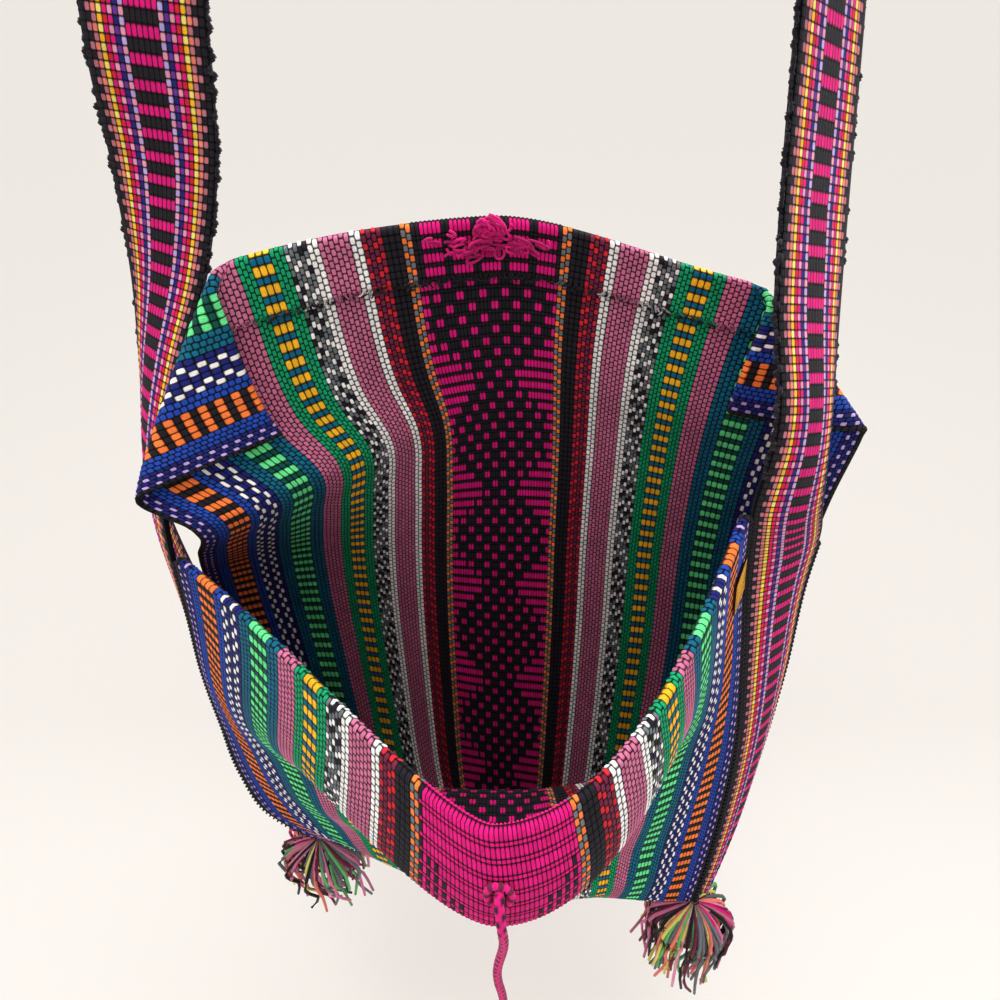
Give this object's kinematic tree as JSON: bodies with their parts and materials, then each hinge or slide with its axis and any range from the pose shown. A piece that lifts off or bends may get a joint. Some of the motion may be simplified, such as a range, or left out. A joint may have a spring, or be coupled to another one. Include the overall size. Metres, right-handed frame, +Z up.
{
  "type": "woven shoulder bag",
  "caption": "Hand-woven striped shoulder bag with open drooping mouth, gusset shoulder strap, corner tassels and closing cord",
  "frame": {"origin": "The point that the bag hangs from: the underside of the strap at the middle of its loop.", "axes": "+Z up along the hanging bag, +Y to the back panel, -Y to the front panel with the drooping lip, +X to the bag's left as worn, which is the right of the picture."},
  "size_m": [0.3437, 0.2442, 0.9578],
  "materials": {
    "striped_cloth": "hand-woven warp-faced yarn cloth, striped",
    "woven_band": "hand-woven warp-faced yarn band, magenta and black blocks",
    "black_thread": "matt black sewing yarn",
    "magenta_yarn": "braided magenta yarn",
    "mixed_yarn": "loose yarn ends of many colours",
    "dark_yarn": "dark yarn wrapped round the strands",
    "ochre_tape": "plain woven tape"
  },
  "bodies": {
    "root": {"bag_cloth": "striped_cloth", "strap_band": "woven_band", "seam_left": "black_thread", "seam_right": "black_thread", "hem_stitching_front": "black_thread", "hem_stitching_back": "black_thread", "tassel_head_left": "dark_yarn", "tassel_head_right": "dark_yarn", "tassel_fringe_left": "mixed_yarn", "tassel_fringe_right": "mixed_yarn", "tie_eyelet": "magenta_yarn", "tie_cord": "magenta_yarn", "tie_cord_knot": "magenta_yarn", "back_loop": "magenta_yarn", "side_label": "ochre_tape"}
  },
  "joints": []
}
